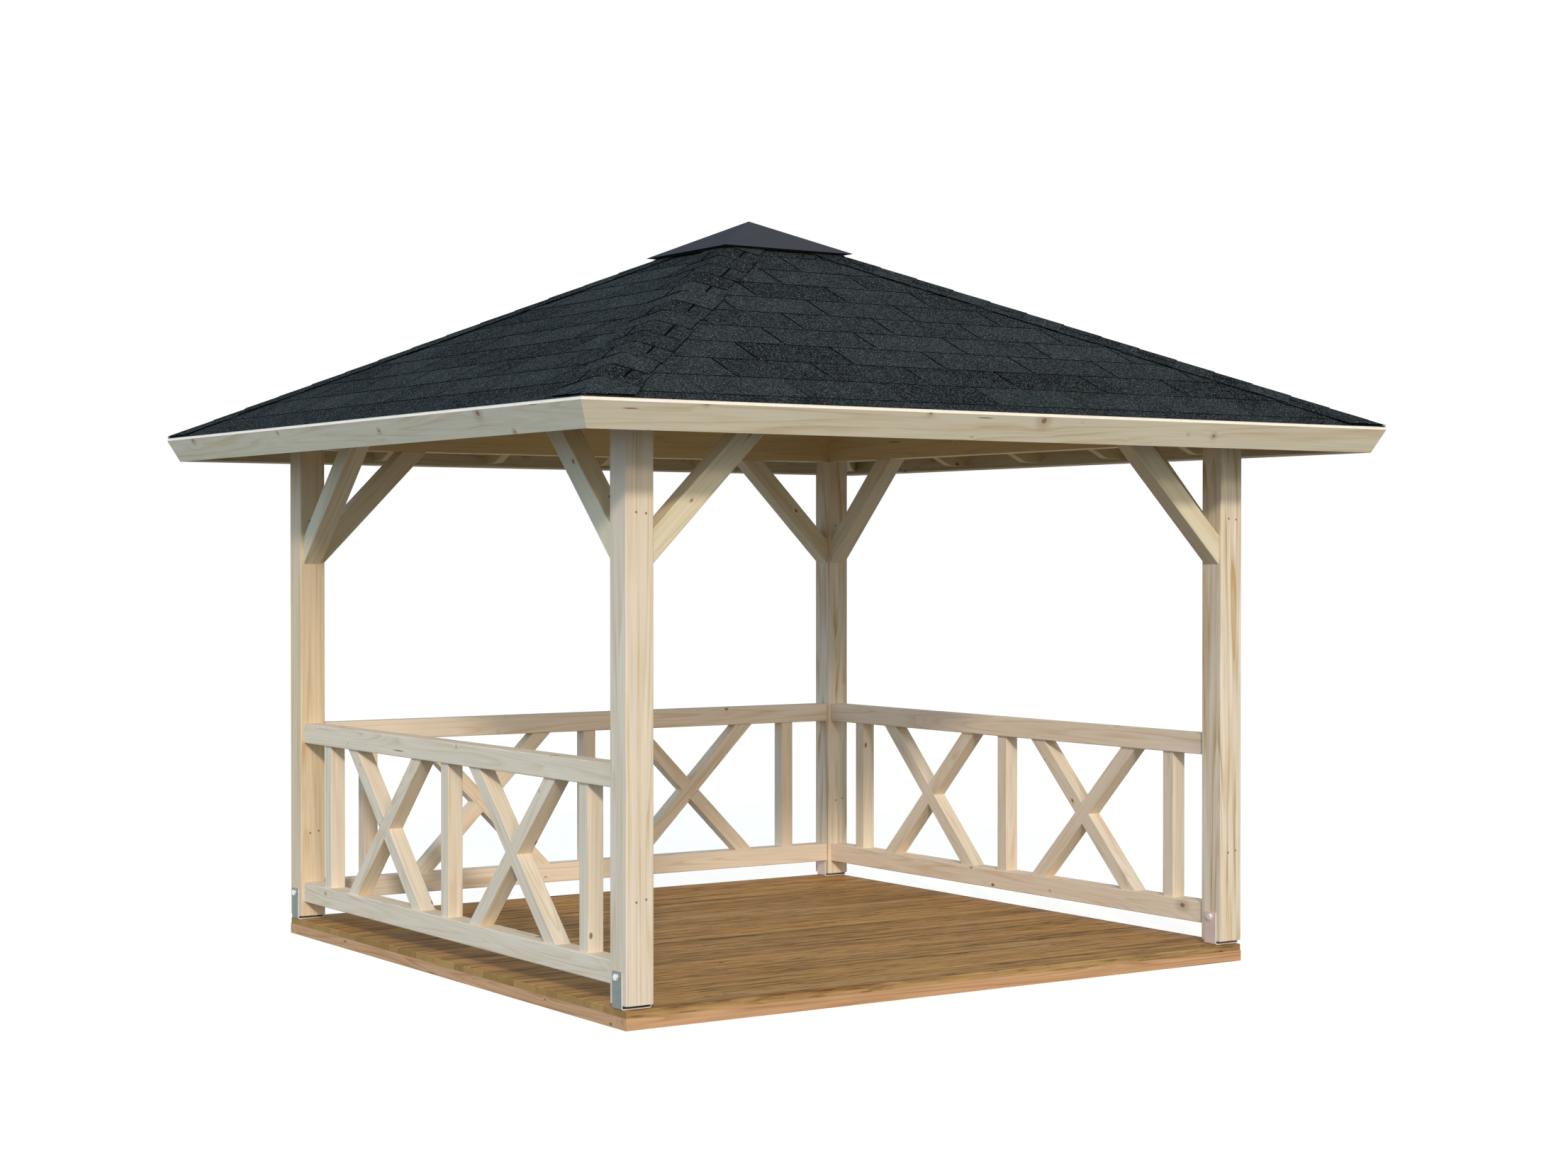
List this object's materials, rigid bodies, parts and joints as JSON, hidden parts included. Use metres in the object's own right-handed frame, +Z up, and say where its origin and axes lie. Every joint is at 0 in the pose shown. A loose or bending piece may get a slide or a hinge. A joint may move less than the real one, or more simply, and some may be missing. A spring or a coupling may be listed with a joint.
{
  "type": "garden gazebo",
  "caption": "Square open timber garden gazebo with a hipped shingle roof, metal peak cap, knee braces, boarded floor and crossed balustrades on the closed sides.",
  "frame": {"origin": "centre of the footprint, level with the underside of the floor bearers", "axes": "+Z up, the open entrance side faces -Y, +X to the right when facing the back from the entrance"},
  "size_m": [3.942, 3.942, 3.2435],
  "materials": {
    "planed_softwood": "planed softwood, pale cream with light grain and small knots, untreated",
    "decking": "brown impregnated boards with visible grain",
    "floor_bearer_timber": "sawn bearers, light orange brown",
    "galvanised_steel": "hot-dip galvanised sheet, dull grey",
    "bitumen_shingle": "granule-surfaced bitumen shingles, near black",
    "coated_sheet": "anthracite coated sheet metal, satin"
  },
  "bodies": {
    "root": {"balusters_back": "planed_softwood", "balusters_left": "planed_softwood", "balusters_right": "planed_softwood", "bottom_rail_back": "planed_softwood", "bottom_rail_left": "planed_softwood", "bottom_rail_right": "planed_softwood", "diagonals_falling_back": "planed_softwood", "diagonals_falling_left": "planed_softwood", "diagonals_falling_right": "planed_softwood", "diagonals_rising_back": "planed_softwood", "diagonals_rising_left": "planed_softwood", "diagonals_rising_right": "planed_softwood", "fascia_back": "planed_softwood", "fascia_front": "planed_softwood", "fascia_left": "planed_softwood", "fascia_right": "planed_softwood", "floor_bearer_back": "floor_bearer_timber", "floor_bearer_front": "floor_bearer_timber", "floor_deck": "decking", "floor_joists": "floor_bearer_timber", "hip_rafter_back_left": "planed_softwood", "hip_rafter_back_right": "planed_softwood", "hip_rafter_front_left": "planed_softwood", "hip_rafter_front_right": "planed_softwood", "jack_rafters_back": "planed_softwood", "jack_rafters_front": "planed_softwood", "jack_rafters_left": "planed_softwood", "jack_rafters_right": "planed_softwood", "knee_braces_back_left": "planed_softwood", "knee_braces_back_right": "planed_softwood", "knee_braces_front_left": "planed_softwood", "knee_braces_front_right": "planed_softwood", "peak_block": "planed_softwood", "post_back_left": "planed_softwood", "post_back_right": "planed_softwood", "post_front_left": "planed_softwood", "post_front_right": "planed_softwood", "post_shoe_back_left": "galvanised_steel", "post_shoe_back_right": "galvanised_steel", "post_shoe_front_left": "galvanised_steel", "post_shoe_front_right": "galvanised_steel", "ring_beam_back": "planed_softwood", "ring_beam_front": "planed_softwood", "ring_beam_left": "planed_softwood", "ring_beam_right": "planed_softwood", "roof_boards_back": "planed_softwood", "roof_boards_front": "planed_softwood", "roof_boards_left": "planed_softwood", "roof_boards_right": "planed_softwood", "roof_cap": "coated_sheet", "shingles_back": "bitumen_shingle", "shingles_front": "bitumen_shingle", "shingles_left": "bitumen_shingle", "shingles_right": "bitumen_shingle", "top_rail_back": "planed_softwood", "top_rail_left": "planed_softwood", "top_rail_right": "planed_softwood"}
  },
  "joints": []
}
